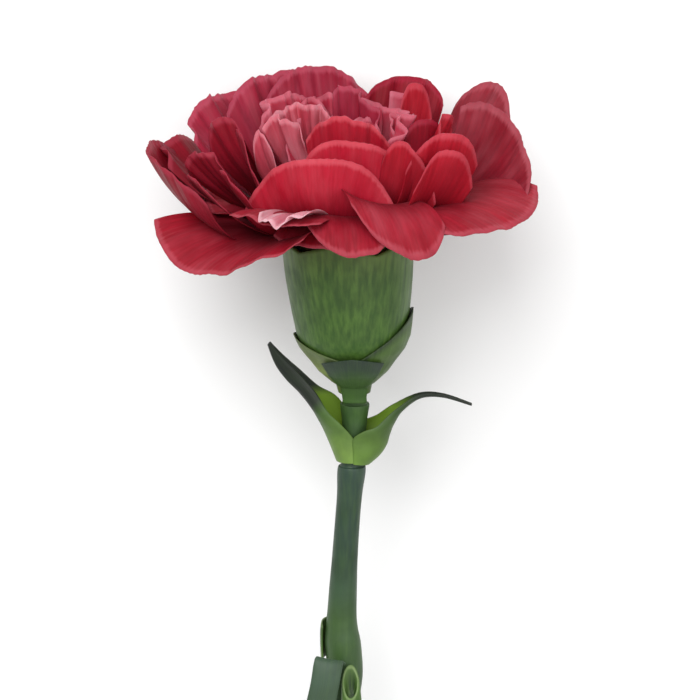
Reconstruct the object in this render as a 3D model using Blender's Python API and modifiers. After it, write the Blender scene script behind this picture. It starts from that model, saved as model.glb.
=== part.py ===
"""A double carnation cut from its plant and laid down on a table.

The flower is worked out upright, with its stem along Z, the viewer's side of the
bloom at -Y and the foot of the calyx at the origin. The whole flower is then laid
on its back: the stem's cut end and two of the low petals touch the table.
All lengths are in millimetres until the last step.
"""
import math
import random

import bmesh
import bpy
import numpy as np
from mathutils import Matrix

MM = 0.001

# ------------------------------------------------------------------ dimensions
PETAL_THICK = 0.65        # sheets are thicker than real petals, so that they are solids
LEAF_THICK = 0.65
SCALE_THICK = 0.60
CALYX_RIM = 27.2          # height of the notches between the calyx teeth
TOOTH = 2.2               # height of a calyx tooth
TEETH = 5
TEETH_TURN = 46 / 72      # how far round the teeth stand, in widths of a tooth
WALL = 1.2                # thickness of the calyx wall
STEM_BELOW = 190.0        # stem left below the calyx
STEM_R = 2.5
TILT = 7.2                # degrees the stem rises from its cut end to the bloom
FLAT = 0.4                # depth of the flats where the flower touches the table

T = math.radians(TILT)
LIFT = STEM_R * math.cos(T) + STEM_BELOW * math.sin(T)   # calyx foot above the table

for old in list(bpy.data.objects):
    bpy.data.objects.remove(old)


def new_collection(name):
    made = bpy.data.collections.new(name)
    bpy.context.scene.collection.children.link(made)
    return made


parts = new_collection("cut_carnation")
petals = new_collection("petals")


def material(name, colour, roughness):
    made = bpy.data.materials.new(name)
    made.use_nodes = True
    shader = made.node_tree.nodes["Principled BSDF"]
    shader.inputs["Base Color"].default_value = (*colour, 1.0)
    shader.inputs["Roughness"].default_value = roughness
    return made


CRIMSON = material("petal_crimson", (0.52, 0.04, 0.09), 0.6)
CALYX_GREEN = material("calyx_green", (0.16, 0.27, 0.09), 0.5)
STEM_GREEN = material("stem_green", (0.10, 0.19, 0.12), 0.5)
LEAF_GREEN = material("leaf_green", (0.14, 0.22, 0.11), 0.55)


def keep_in(obj, home):
    for other in list(obj.users_collection):
        other.objects.unlink(obj)
    home.objects.link(obj)
    return obj


def move_points(obj, formula):
    """Put every vertex of obj where formula(x, y, z) says."""
    mesh = obj.data
    at = np.zeros(len(mesh.vertices) * 3)
    mesh.vertices.foreach_get("co", at)
    at = at.reshape(-1, 3)
    mesh.vertices.foreach_set("co", formula(at[:, 0], at[:, 1], at[:, 2]).reshape(-1))
    mesh.update()


def apply_modifiers(obj):
    """Freeze the modifiers of obj into its mesh."""
    graph = bpy.context.evaluated_depsgraph_get()
    solid = bpy.data.meshes.new_from_object(obj.evaluated_get(graph))
    obj.modifiers.clear()
    obj.data = solid


def sheet(name, formula, across, along, thick, home, look):
    """A thin blade: a flat grid cut in triangles, moved by formula(u, v), then thickened.
    u runs -1 to 1 across the blade and v 0 to 1 from its root to its tip."""
    bpy.ops.mesh.primitive_grid_add(x_subdivisions=across, y_subdivisions=along, size=2.0)
    obj = keep_in(bpy.context.object, home)
    obj.name = name
    obj.data.materials.append(look)
    work = bmesh.new()
    work.from_mesh(obj.data)
    bmesh.ops.triangulate(work, faces=work.faces[:])
    work.to_mesh(obj.data)
    work.free()
    move_points(obj, lambda x, y, z: formula(x, (y + 1) / 2))
    skin = obj.modifiers.new("skin", "SOLIDIFY")
    skin.thickness = thick
    skin.offset = 0.0
    return obj


def turned(name, profile, around, home, look):
    """A body of revolution about Z from a closed (radius, height) outline."""
    mesh = bpy.data.meshes.new(name)
    work = bmesh.new()
    ring = [work.verts.new((r, 0.0, z)) for r, z in profile]
    for a, b in zip(ring, ring[1:]):
        work.edges.new((a, b))
    if profile[0][0] > 0:
        work.edges.new((ring[-1], ring[0]))
    work.to_mesh(mesh)
    work.free()
    obj = bpy.data.objects.new(name, mesh)
    home.objects.link(obj)
    mesh.materials.append(look)
    spin = obj.modifiers.new("spin", "SCREW")
    spin.steps = around
    spin.render_steps = around
    spin.use_merge_vertices = True
    spin.merge_threshold = 0.0001
    apply_modifiers(obj)
    work = bmesh.new()
    work.from_mesh(obj.data)
    bmesh.ops.recalc_face_normals(work, faces=work.faces[:])
    work.to_mesh(obj.data)
    work.free()
    return obj


def stem_line(z):
    """Sideways drift of the flower's axis: it bows under the calyx and bends at a joint."""
    above = 0.9 - 0.045 * (z + 3)
    below = -2.9 + 3.8 / (1 + ((z + 3) / 31) ** 2)
    joint = np.clip((-45 - z) / 13, 0, 1)
    below = below + 1.05 * joint ** 2 * (3 - 2 * joint)
    return np.where(z > -3, above, below)


def follow_stem(x, y, z):
    return np.stack((x + stem_line(z), y, z), -1)


# ------------------------------------------------------------------ petals
# A petal is a fan on a narrow claw. Its claw starts at radius r and height h inside the
# mouth of the calyx; the middle of its rim lies at azimuth az (0 faces the viewer,
# positive to the right), reach from the axis and height top.
PLAIN = dict(
    r=8.5, h=29.5, root=None, claw=5.0,   # where the claw starts, and its width
    width=20.0,       # length of the rim
    wrap=0.8,         # 1: the rim follows a circle round the axis, 0: it is straight
    turn=0.0,         # degrees the rim is swung in plan, right end inwards
    droop=4.0,        # how far the ends of the rim hang under its middle
    square=2.4,       # how late along the rim that droop sets in
    tilt=0.0,         # right end of the rim higher than the left by this much
    belly=0.0,        # bulge: above 0 cupped upwards, below 0 arched and hanging over
    fan=0.75,         # how early the blade spreads
    corner=0.12,      # rounding of the two corners of the blade
    ruffle=1.0, waves=2.0, phase=0.0, edge=3.0,   # waves of the margin
    curl=0.0,         # how far the margin rolls outwards
)


def bare_petal(p, u, v):
    az = math.radians(p["az"])
    out = np.array((math.sin(az), -math.cos(az), 0.0))
    side = np.array((math.cos(az), math.sin(az), 0.0))
    up = np.array((0.0, 0.0, 1.0))
    bend = p["wrap"] / p["reach"]
    along = u * p["width"] / 2
    a = np.sin(bend * along) / bend
    b = (np.cos(bend * along) - 1) / bend
    t = math.radians(p["turn"])
    a, b = a * math.cos(t) + b * math.sin(t), b * math.cos(t) - a * math.sin(t)
    high = p["top"] + p["tilt"] * u / 2 - p["droop"] * np.abs(u) ** p["square"]
    rim = (p["reach"] + b)[:, None] * out + a[:, None] * side + high[:, None] * up
    start = math.radians(p["az"] if p["root"] is None else p["root"])
    start = start + u * p["claw"] / 2 / max(p["r"], 3.0)
    root = np.stack((p["r"] * np.sin(start), -p["r"] * np.cos(start), 0 * u + p["h"]), -1)
    run = p["reach"] - p["r"]
    rise = p["top"] - p["h"]
    bulge = p["belly"] * 1.33 * (rise * out - run * up) / math.hypot(run, rise)
    chord = rim - root
    spread = (chord @ side)[:, None] * side * 0.8
    first = root + chord / 3 + bulge + (p["fan"] - 1 / 3) * spread
    second = root + chord * 2 / 3 + bulge + (min(p["fan"] + 0.25, 1.02) - 2 / 3) * spread
    w = (v * (1 - p["corner"] * np.abs(u) ** 3))[:, None]
    return ((1 - w) ** 3 * root + 3 * w * (1 - w) ** 2 * first
            + 3 * w ** 2 * (1 - w) * second + w ** 3 * rim)


def petal_formula(p):
    def formula(u, v):
        at = bare_petal(p, u, v)
        step = 0.02
        du = bare_petal(p, u + step, v) - bare_petal(p, u - step, v)
        dv = bare_petal(p, u, v + step) - bare_petal(p, u, v - step)
        normal = np.cross(du, dv)
        normal = normal / np.linalg.norm(normal, axis=1)[:, None]
        turns = p["waves"] * math.pi * u + p["phase"]
        wave = np.sin(turns) + 0.45 * np.sin(2.3 * turns)
        roll = p["curl"] * np.clip((v - 0.55) / 0.45, 0, 1) ** 2
        at = at + normal * (p["ruffle"] * v ** p["edge"] * wave + roll)[:, None]
        # the table presses a petal that reaches it flat
        above = LIFT + at[:, 2] * math.sin(T) - at[:, 1] * math.cos(T)
        push = np.maximum(PETAL_THICK / 2 - above, 0)
        at[:, 1] = at[:, 1] - push / math.cos(T)
        return at
    return formula


garden = []


def petal(layer, az, reach, top, **shape):
    garden.append({**PLAIN, **shape, "layer": layer, "az": az, "reach": reach, "top": top})


# low guard petals round the front of the mouth; the first droops far out to the left
petal("guard", -53, 33, 26, r=9.5, h=29.7, width=36, wrap=1.2, turn=20, droop=-6.5, tilt=1,
      belly=-2.5, ruffle=0.8, waves=1.5, phase=2.2, edge=2, corner=0.06)
petal("guard", -33, 29.5, 36.5, r=9.3, h=29.7, width=19.5, wrap=1.4, turn=8, droop=1, tilt=-1,
      belly=-3, ruffle=0.5, waves=1.5, phase=0.2)
petal("guard", 1, 28.5, 31, r=9, h=29.7, root=-30, width=19, wrap=1.5, turn=-10, droop=-2,
      belly=-5.5, ruffle=0.3, waves=1.5, phase=1.0, fan=1.0, corner=0.2)
petal("guard", 19, 31, 31, r=9, h=29.9, root=-20, width=18, wrap=1.7, turn=-20, droop=-2.5,
      tilt=-5, belly=-8, ruffle=0.3, waves=1.4, phase=0.4, fan=1.0, corner=0.16)
petal("guard", 56, 36, 35, r=9.3, h=29.7, root=45, width=28, wrap=2.0, turn=-11, droop=-1, tilt=5,
      belly=-5, ruffle=0.4, waves=1.2, phase=0.8, fan=1.0, corner=0.04)
petal("pale", -26, 30.5, 36.5, r=9.3, h=29.7, width=9, wrap=1.5, turn=16, droop=-1.5, tilt=1,
      belly=-3, ruffle=0.6, waves=2.2, phase=0.8)
petal("guard", -12, 21, 30.5, r=9.5, h=29.7, width=22, droop=0, belly=-3, ruffle=0.3)
# left side: a cupped boat of a petal, and narrower ones standing inside it
petal("left", -85, 37, 45, r=9, h=30.5, width=30, wrap=2.2, turn=12, droop=1, tilt=-6, belly=6.5,
      ruffle=0.3, waves=1.2, phase=0.8)
petal("left", -109, 36, 44.5, width=22, wrap=1.1, droop=0, belly=3, ruffle=0.8, waves=1.9,
      phase=0.3)
petal("left", -63, 31.5, 42, r=9, h=30, width=9.5, wrap=1.1, turn=22, droop=0.5, tilt=-4, belly=3,
      ruffle=0.2, waves=1.2)
petal("left", -78, 28.5, 45.5, width=11, turn=40, droop=2, tilt=2, belly=2, ruffle=0.6, waves=2.5,
      phase=0.8)
petal("left", -55, 27, 43, r=8, width=7.5, wrap=0.8, turn=12, droop=0, tilt=-5, belly=3,
      ruffle=0.2, waves=1.2)
petal("left", -64, 21.5, 47.5, r=7, width=11, wrap=1.0, turn=3, droop=1.5, tilt=-12, belly=3,
      ruffle=0.2, waves=1.2)
petal("left", -81, 24.5, 51.5, r=7, width=9, wrap=1.5, turn=50, droop=2.5, tilt=4, belly=2,
      ruffle=0.4, waves=1.6, phase=1.8)
petal("blush", -64, 18.5, 50, r=6, width=5, wrap=1.0, turn=30, droop=4, belly=2, ruffle=0.2,
      corner=0.2)
# three walls one behind the other at the front
petal("front", -19, 18, 46.5, r=8.5, h=30, width=29, turn=10, droop=8.5, tilt=2, belly=4,
      ruffle=0.3, waves=1.0, phase=1.5, square=2.8, curl=1.6)
petal("front", 3, 13.5, 49, r=6, width=20, wrap=0.9, turn=2, droop=5, tilt=-3, belly=3,
      ruffle=0.3, waves=1.2, phase=0.5, square=3, curl=1.4)
petal("front", 2, 9.5, 52.4, r=4, width=18, wrap=0.7, turn=3, droop=4, tilt=-4, ruffle=0.8,
      waves=3.2, phase=0.5, square=2.6)
# right side: rounded petals that face the front, and two tall ones leaning out
petal("right", 34, 19.5, 48.5, r=6, width=11, wrap=0.8, turn=-50, droop=4.5, tilt=-8, belly=2.5,
      ruffle=0.3)
petal("right", 43, 26.5, 48.5, r=8, width=12, wrap=2.0, turn=-26, droop=5, belly=3, ruffle=0.3,
      waves=1.0, fan=1.1)
petal("right", 48, 24, 51, r=7, width=15, wrap=1.5, turn=-32, droop=4, belly=3, ruffle=0.4,
      waves=1.3, fan=1.1)
petal("tall", 90, 30.5, 49, width=23, wrap=1.6, turn=37, droop=1.5, tilt=17, belly=3.5,
      ruffle=0.4, waves=1.2, phase=0.5)
petal("tall", 117, 30.5, 55, r=7.5, h=30, width=15.5, wrap=1.5, turn=19, droop=5, tilt=2, belly=2,
      ruffle=0.6, waves=1.6, phase=0.5)
# a hood behind them, with a bud-like petal in it
petal("right", 120, 14, 56, r=4, width=9, wrap=1.0, turn=78, droop=5, belly=2.5, ruffle=0.2,
      corner=0.2)
petal("hood", 80, 14, 51, r=5, width=12, wrap=1.8, turn=-53, droop=4, belly=2.5, ruffle=0.2,
      corner=0.2)
petal("right", 90, 18, 51.5, r=5, width=8.5, wrap=0.2, turn=-33, droop=4.5, belly=1, ruffle=0.4)
petal("hood", 152, 23, 55, r=7.5, h=30, width=19, wrap=2.5, turn=25, droop=1.5, belly=1.5,
      ruffle=0.8, waves=1.8, phase=2.5)
petal("crown", 163, 6, 54.5, r=4, width=13, wrap=0.2, turn=-25, droop=1, tilt=7, belly=1,
      ruffle=0.8, waves=2.5)
# the crown of tall petals across the back
petal("crown", 196, 21, 57, r=7.5, h=30, width=24, wrap=0.7, turn=-4, droop=5, tilt=3, belly=1,
      waves=2.6, phase=0.5)
petal("crown", 217, 26, 55.5, r=7.5, h=30, width=24, turn=-4, droop=3, tilt=-2, belly=1,
      waves=2.6, phase=1.5)
petal("crown", 238, 31, 52, r=7.5, h=30, width=24, wrap=0.9, turn=-4, droop=3, tilt=-3, belly=1.5,
      waves=2.4, phase=3.5)
# crumpled pale petals of the heart
petal("blush", -90, 9, 53.5, r=3, width=15, wrap=0.2, turn=-86, droop=2, belly=1, ruffle=1.8,
      waves=3.2)
petal("blush", -69, 14, 52, r=3, width=9, wrap=0.5, turn=55, droop=2, belly=1, ruffle=1.4,
      waves=2.2)
petal("pale", -42, 8, 50.5, r=3, width=8, wrap=3, turn=20, droop=3, belly=1, ruffle=0.4,
      waves=1.5)
# guard petals round the back; two of them carry the bloom on the table
rng = random.Random(5)
for az, reach in ((100, 33), (127, 33), (153, 37.5), (180, 29), (207, 37.5), (233, 33), (258, 27)):
    petal("guard", az, reach, 35.5 + rng.uniform(-1, 1), r=9.3, h=29.7, width=18.5, wrap=0.9,
          tilt=-4, droop=rng.uniform(0, 2), belly=rng.uniform(-2, -1), ruffle=0.6,
          waves=rng.uniform(1.4, 2.2), phase=rng.uniform(0, 6))
# inner rings of crumpled petals that fill the space in front of the crown
for az in (136, 170, 200, 226, 250):
    petal("heart", az + rng.uniform(-6, 6), 16.5 + rng.uniform(-1, 1),
          52.5 + rng.uniform(-1.5, 1), r=5, width=13, wrap=1.0, droop=rng.uniform(1, 4),
          belly=rng.uniform(-1, 1), ruffle=1.5, waves=rng.uniform(1.5, 2.5), phase=rng.uniform(0, 6),
          turn=rng.uniform(-20, -8))
for az in (85, 125, 190, 235, 270):
    petal("heart", az + rng.uniform(-8, 8), 10.5 + rng.uniform(-0.8, 0.8),
          51.5 + rng.uniform(-1.5, 1), r=3, width=13, wrap=rng.uniform(0.3, 1.2),
          droop=rng.uniform(1, 4), belly=rng.uniform(-1, 1), ruffle=1.6,
          waves=rng.uniform(1.5, 2.5), phase=rng.uniform(0, 6),
          turn=rng.uniform(-25, -10))
for k in range(3):
    petal("heart", 120 * k + 20 + rng.uniform(-8, 8), 5, 50 + rng.uniform(-1.5, 1), r=1.5, width=9,
          wrap=rng.uniform(0.3, 1.0), droop=rng.uniform(1, 4), belly=rng.uniform(-1, 0), ruffle=1.1,
          waves=rng.uniform(1.5, 2.5), phase=rng.uniform(0, 6), turn=rng.uniform(-20, 20))

for k, p in enumerate(garden):
    across = 5 if p["width"] > 16 else 4
    along = 3 if p["r"] < 6 else 4
    sheet("petal_%02d" % k, petal_formula(p), across, along, PETAL_THICK, petals, CRIMSON)

# The claws of all the petals crowd together in the calyx: one tapering body that the
# blades grow out of.
bloom = turned("bloom", [(0, 9), (6.8, 9), (9.2, 13), (9.9, 18), (10.2, 25), (10.2, 31.5),
                         (9.2, 36), (8.4, 40), (6.6, 44), (3.6, 46.6), (0, 47.4)], 18, parts, CRIMSON)
bloom_join = bloom.modifiers.new("join", "BOOLEAN")
bloom_join.operation = "UNION"
bloom_join.operand_type = "COLLECTION"
bloom_join.collection = petals
bloom_join.solver = "MANIFOLD"
apply_modifiers(bloom)
for blade in list(petals.objects):
    bpy.data.objects.remove(blade)


def keep_outside(obj):
    """Fill the small pockets closed in between petals: only the outer skin is kept."""
    work = bmesh.new()
    work.from_mesh(obj.data)
    left = set(work.verts)
    skins = []
    while left:
        skin = {left.pop()}
        edge_of_skin = list(skin)
        while edge_of_skin:
            vert = edge_of_skin.pop()
            for edge in vert.link_edges:
                other = edge.other_vert(vert)
                if other in left:
                    left.remove(other)
                    skin.add(other)
                    edge_of_skin.append(other)
        skins.append(skin)
    skins.sort(key=len)
    for skin in skins[:-1]:
        bmesh.ops.delete(work, geom=list(skin), context="VERTS")
    work.to_mesh(obj.data)
    work.free()
    print(obj.name, "pockets filled:", len(skins) - 1)


keep_outside(bloom)

# ------------------------------------------------------------------ calyx
# A hollow green cup with five pointed teeth that holds the claws.
calyx = turned("calyx", [(0, 0.3), (2.3, 0.3), (3.4, 1.0), (5.9, 3.3), (7.1, 5.0), (9.2, 7.7),
                         (10.2, 9.9), (10.7, 12.5), (11.3, 16.5), (11.9, 21.5), (12.3, CALYX_RIM),
                         (12.3 - WALL, CALYX_RIM), (10.7, 21.5), (10.4, 16.5), (9.8, 12.3), (8.9, 10.2),
                         (6.2, 7.4), (0, 7.4)], 40, parts, CALYX_GREEN)


def calyx_shape(x, y, z):
    turn = np.arctan2(x, -y) / (2 * math.pi) * TEETH + TEETH_TURN
    tooth = 1 - np.abs(2 * (turn % 1.0) - 1)
    z = z + TOOTH * tooth * (z > CALYX_RIM - 0.1)
    return follow_stem(x, y, z)


move_points(calyx, calyx_shape)

# ------------------------------------------------------------------ scales under the calyx
OUTLINE_Z = [-3.0, -1.6, 0.5, 1.0, 3.3, 5.0, 7.7, 9.9, 12.5, 16.5]
OUTLINE_R = [2.1, 2.1, 2.6, 3.4, 5.9, 7.1, 9.2, 10.2, 10.7, 11.3]


def scale_formula(azimuth, half, foot, tip, blunt, off):
    """A scale pressed to the foot of the calyx: a sector of a cup with a pointed top."""
    def formula(u, v):
        az = math.radians(azimuth) + math.radians(half) * u
        crest = tip - (tip - blunt) * np.abs(u) ** 1.3
        z = foot + (crest - foot) * v
        r = np.interp(z, OUTLINE_Z, OUTLINE_R) + off
        return follow_stem(r * np.sin(az), -r * np.cos(az), z)
    return formula


sheet("epicalyx_left", scale_formula(-90, 85, -1.2, 10.0, 6.0, 0.9),
      8, 8, SCALE_THICK, parts, CALYX_GREEN)
sheet("epicalyx_right", scale_formula(90, 85, -1.2, 15.0, 6.2, 0.9),
      8, 9, SCALE_THICK, parts, CALYX_GREEN)
sheet("epicalyx_front", scale_formula(0, 38, -2.6, 7.4, 6.0, 2.0),
      5, 7, SCALE_THICK, parts, CALYX_GREEN)
sheet("epicalyx_back", scale_formula(180, 38, -2.6, 6.8, 4.5, 2.0),
      5, 7, SCALE_THICK, parts, CALYX_GREEN)

# ------------------------------------------------------------------ stem
# Round and smooth between swollen joints; the lower leaves are stripped and the end is cut.
stem = turned("stem", [(0, -STEM_BELOW), (STEM_R, -STEM_BELOW), (STEM_R, -155), (STEM_R, -122),
                       (2.7, -118.5), (3.2, -116), (3.3, -113.5), (2.9, -111), (2.6, -107),
                       (2.55, -85), (2.65, -66),
                       (3.0, -61), (3.35, -57), (3.45, -53), (3.4, -50), (3.05, -47.5), (2.8, -44.5),
                       (2.65, -40), (2.45, -34), (2.35, -26), (2.4, -21), (2.65, -17.5), (2.6, -15.8),
                       (2.1, -15.2), (2.05, -12), (2.25, -8.5), (2.45, -6), (2.75, -3.7), (2.25, -3.2),
                       (2.1, 0), (0, 0)], 20, parts, STEM_GREEN)
move_points(stem, follow_stem)

# ------------------------------------------------------------------ leaves


def smooth_line(knots, v):
    """A smooth line through knots, read at v from 0 to 1."""
    knots = np.array(knots, float)
    last = len(knots) - 1
    spot = np.clip(v, 0, 1) * last
    k = np.minimum(spot.astype(int), last - 1)
    f = (spot - k)[:, None]
    before = knots[np.maximum(k - 1, 0)]
    after = knots[np.minimum(k + 2, last)]
    a, b = knots[k], knots[k + 1]
    return 0.5 * (2 * a + (b - before) * f + (2 * before - 5 * a + 4 * b - after) * f ** 2
                  + (3 * a - before - 3 * b + after) * f ** 3)


def leaf_formula(front, keel, back):
    """A channelled leaf between three lines: its margin towards the viewer, its keel and
    its other margin. Its cross-section is half an ellipse through the three."""
    def formula(u, v):
        f, k, b = smooth_line(front, v), smooth_line(keel, v), smooth_line(back, v)
        middle = (f + b) / 2
        turn = (math.pi / 2 * u)[:, None]
        return middle + (k - middle) * np.cos(turn) + (b - f) / 2 * np.sin(turn)
    return formula


# The upper pair clasps the stem in a collar that opens in a V towards the viewer; both
# blades have dried dark at the tip.
LEFT_LEAF = dict(
    front=[(0.35, -3.0, -14.4), (0.3, -3.1, -12.0), (0.25, -3.1, -9.7), (-1.6, -3.3, -6.9),
           (-4.1, -3.0, -4.4), (-6.4, -2.0, -0.9), (-9.6, -1.0, 2.6), (-12.6, -0.7, 5.6), (-14.9, -0.6, 8.2)],
    keel=[(-2.35, 0, -14.4), (-3.7, 0, -10.9), (-4.8, 0, -8.3), (-5.9, 0, -5.9), (-7.1, 0, -3.6),
          (-9.5, 0, -1.0), (-11.8, 0, 1.3), (-13.8, 0, 4.1), (-15.3, 0, 7.8)],
    back=[(0.35, 3.0, -14.4), (0.3, 3.1, -12.0), (0.2, 3.1, -9.0), (-0.8, 3.3, -5.4), (-2.7, 3.1, -2.8),
          (-6.0, 2.0, -0.6), (-9.4, 1.0, 2.8), (-12.5, 0.7, 5.7), (-14.9, 0.6, 8.25)])
RIGHT_LEAF = dict(
    front=[(1.0, -3.0, -14.6), (0.95, -3.2, -12.2), (0.9, -3.2, -9.7), (2.6, -3.4, -8.1),
           (5.0, -3.0, -7.2), (8.0, -2.0, -4.6), (12.9, -0.9, -1.7), (17.5, -0.8, -1.8), (22.8, -0.5, -3.6)],
    keel=[(3.6, 0, -14.9), (5.5, 0, -13.2), (6.7, 0, -11.3), (7.3, 0, -9.2), (8.2, 0, -7.0),
          (9.8, 0, -4.6), (13.2, 0, -2.3), (17.5, 0, -2.2), (22.8, 0, -3.9)],
    back=[(1.0, 3.0, -14.6), (0.95, 3.2, -12.2), (0.9, 3.2, -9.4), (2.6, 3.4, -7.7), (5.0, 3.0, -6.6),
          (8.0, 2.0, -4.3), (12.9, 0.9, -1.7), (17.5, 0.8, -1.8), (22.8, 0.5, -3.6)])
sheet("upper_leaf_left", leaf_formula(**LEFT_LEAF), 6, 14, LEAF_THICK, parts, LEAF_GREEN)
sheet("upper_leaf_right", leaf_formula(**RIGHT_LEAF), 6, 14, LEAF_THICK, parts, LEAF_GREEN)

# The lower pair: one blade folds over and hangs along the stem, of the other only the
# sheath is left.
LOWER_LEAF = dict(
    front=[(-5.9, -3.9, -52.8), (-6.4, -5.2, -51.7), (-6.8, -6.2, -52.9), (-7.5, -7.0, -57.2),
           (-9.6, -7.9, -66), (-12.2, -8.0, -76), (-14.2, -7.2, -86), (-14.9, -6.4, -95)],
    keel=[(-3.4, -4.4, -53.2), (-3.9, -5.7, -52.3), (-4.2, -6.8, -53.7), (-4.9, -7.7, -57.8),
          (-6.8, -8.7, -66), (-9.5, -8.9, -76), (-12.2, -7.9, -86), (-14.6, -6.6, -96)],
    back=[(-0.9, -4.3, -53.3), (-1.3, -5.5, -52.6), (-1.7, -6.5, -54.0), (-2.4, -7.3, -57.9),
          (-4.1, -8.3, -66), (-7.0, -8.6, -76), (-10.6, -7.7, -86), (-14.3, -6.4, -95)])
sheet("lower_leaf_front", leaf_formula(**LOWER_LEAF), 4, 12, LEAF_THICK, parts, LEAF_GREEN)


def sheath_formula(u, v):
    az = np.radians(222 + 64 * u)
    z = -53.8 + 7.6 * v - 0.8 * np.abs(u) ** 3 * v
    r = 4.22 - 0.45 * v ** 1.4
    return follow_stem(r * np.sin(az), -r * np.cos(az), z)


sheet("lower_sheath_back", sheath_formula, 6, 3, LEAF_THICK, parts, LEAF_GREEN)

# A side shoot was cut away slantwise at the lower joint: its short stub, hollow at the
# cut, which faces the viewer.
stub = turned("side_shoot_stub", [(0, 0), (1.3, 0.4), (1.9, 3), (1.95, 8), (1.7, 12.2), (1.3, 12.6),
                                  (1.0, 12.0), (0.6, 10.6), (0, 10.4)], 14, parts, LEAF_GREEN)


def stub_place(x, y, z):
    slant = 2.0 * y * np.clip(z / 8, 0, 1)
    return np.stack((x + 0.15 - 0.04 * (z - 12), y - 5.75 + 0.03 * (z - 12), z + slant - 69.4), -1)


move_points(stub, stub_place)

# ------------------------------------------------------------------ laid on the table
lay = Matrix.Translation((0, 0, LIFT)) @ Matrix.Rotation(T - math.pi / 2, 4, "X")
for obj in list(parts.objects):
    apply_modifiers(obj)
    obj.data.transform(lay)

# Whatever reaches the table ends in a small flat on it.
cutters = new_collection("cutters")
bpy.ops.mesh.primitive_cube_add(size=1.0)
slab = keep_in(bpy.context.object, cutters)
slab.name = "table_slab"
slab.data.transform(Matrix.Translation((0, -60, FLAT - 10)) @ Matrix.Diagonal((200, 400, 20, 1)))
slab.display_type = "WIRE"
slab.hide_render = True
for name in ("bloom", "stem"):
    trim = bpy.data.objects[name].modifiers.new("flat", "BOOLEAN")
    trim.operation = "DIFFERENCE"
    trim.object = slab
    trim.solver = "MANIFOLD"
    apply_modifiers(bpy.data.objects[name])

corners = np.concatenate([np.array([v.co for v in obj.data.vertices]) for obj in parts.objects])
low, high = corners.min(axis=0), corners.max(axis=0)
middle = ((low[0] + high[0]) / 2, (low[1] + high[1]) / 2, low[2])
for obj in parts.objects:
    obj.data.transform(Matrix.Scale(MM, 4) @ Matrix.Translation([-c for c in middle]))
    obj.data.update()
    print(obj.name, "triangles", sum(len(f.vertices) - 2 for f in obj.data.polygons))
print("middle", [round(c, 3) for c in middle], "size", [round(c, 2) for c in high - low])
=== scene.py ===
# %% [markdown]
# # A double carnation, cut and laid down
# The plain solids of the flower lie in a frame, one for each piece that grew apart. This
# lesson gives each its fine form, veins and colour. The frame is opened and measured
# first, because nothing that is added later may stand out of it.

# %% open the frame
import math
import random

import bpy
import numpy as np
from mathutils import Matrix, Vector


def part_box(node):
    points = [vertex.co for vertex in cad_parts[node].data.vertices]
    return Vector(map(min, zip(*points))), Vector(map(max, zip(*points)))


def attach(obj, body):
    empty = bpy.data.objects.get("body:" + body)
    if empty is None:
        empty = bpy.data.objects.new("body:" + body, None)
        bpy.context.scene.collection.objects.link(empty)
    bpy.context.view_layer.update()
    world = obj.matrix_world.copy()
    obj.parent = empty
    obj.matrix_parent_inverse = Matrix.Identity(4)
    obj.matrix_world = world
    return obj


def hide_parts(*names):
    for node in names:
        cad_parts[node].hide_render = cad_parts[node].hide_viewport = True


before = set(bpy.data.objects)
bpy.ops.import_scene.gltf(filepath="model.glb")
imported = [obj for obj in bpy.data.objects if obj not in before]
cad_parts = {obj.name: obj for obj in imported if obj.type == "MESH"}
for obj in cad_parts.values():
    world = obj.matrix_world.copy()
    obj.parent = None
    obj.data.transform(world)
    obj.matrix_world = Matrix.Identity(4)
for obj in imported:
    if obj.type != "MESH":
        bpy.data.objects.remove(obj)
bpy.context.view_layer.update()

# %% [markdown]
# ## How the flower lies
# A cut carnation lies on its back: the cut end of its stem and the margins of two low
# petals touch the table. It could be built lying down, but then every ring of petals
# would be a tilted one. It is easier to build it standing, with the stem along Z, the
# foot of the calyx at the origin and the front towards -Y, and to lay it down with one
# matrix at the end. Lengths are millimetres until that matrix turns them into metres.

# %% how it rests
MM = 0.001
TILT = math.radians(7.2)      # the stem rises from its cut end to the wide bloom
STEM_BELOW = 190.0            # length of stem below the calyx
STEM_R = 2.5                  # its radius at the cut
FLAT = 0.4                    # depth of the flats where the flower touches the table
LIFT = STEM_R * math.cos(TILT) + STEM_BELOW * math.sin(TILT)
print("the foot of the calyx is", round(LIFT - FLAT, 1), "mm above the table")

# %% [markdown]
# A real stem is never straight. This one bows under the weight of the bloom and bends a
# little at its lower joint. Calyx, leaves and stem have to stay seated on each other, so
# the bow is written once, as a sideways drift that depends only on the height, and every
# green piece is passed through it.

# %% the line of the stem
NECK = -3.0                   # height at which the calyx meets the stem
BOW, BOW_LENGTH = 3.8, 31.0   # how far the stem swings out, and how soon
JOINT_TOP, JOINT_LENGTH, JOINT_BEND = -45.0, 13.0, 1.05


def stem_line(z):
    """Sideways place of the flower's middle at height z."""
    leaning = 0.9 - 0.045 * (z - NECK)
    bowed = -2.9 + BOW / (1 + ((z - NECK) / BOW_LENGTH) ** 2)
    joint = np.clip((JOINT_TOP - z) / JOINT_LENGTH, 0, 1)
    bowed = bowed + JOINT_BEND * joint ** 2 * (3 - 2 * joint)
    return np.where(z > NECK, leaning, bowed)


def follow_stem(x, y, z):
    return np.stack((x + stem_line(z), y, z), -1)


print("drift of the cut end, mm", round(float(stem_line(np.array(-STEM_BELOW))), 2))

# %% [markdown]
# The stem is round, and swollen where leaves grow or grew from it. Its outline is a list
# of (radius, height) pairs, close together at the joints only. The place of the flower is
# read from the solid stem in the frame, so that the two stay together.

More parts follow.
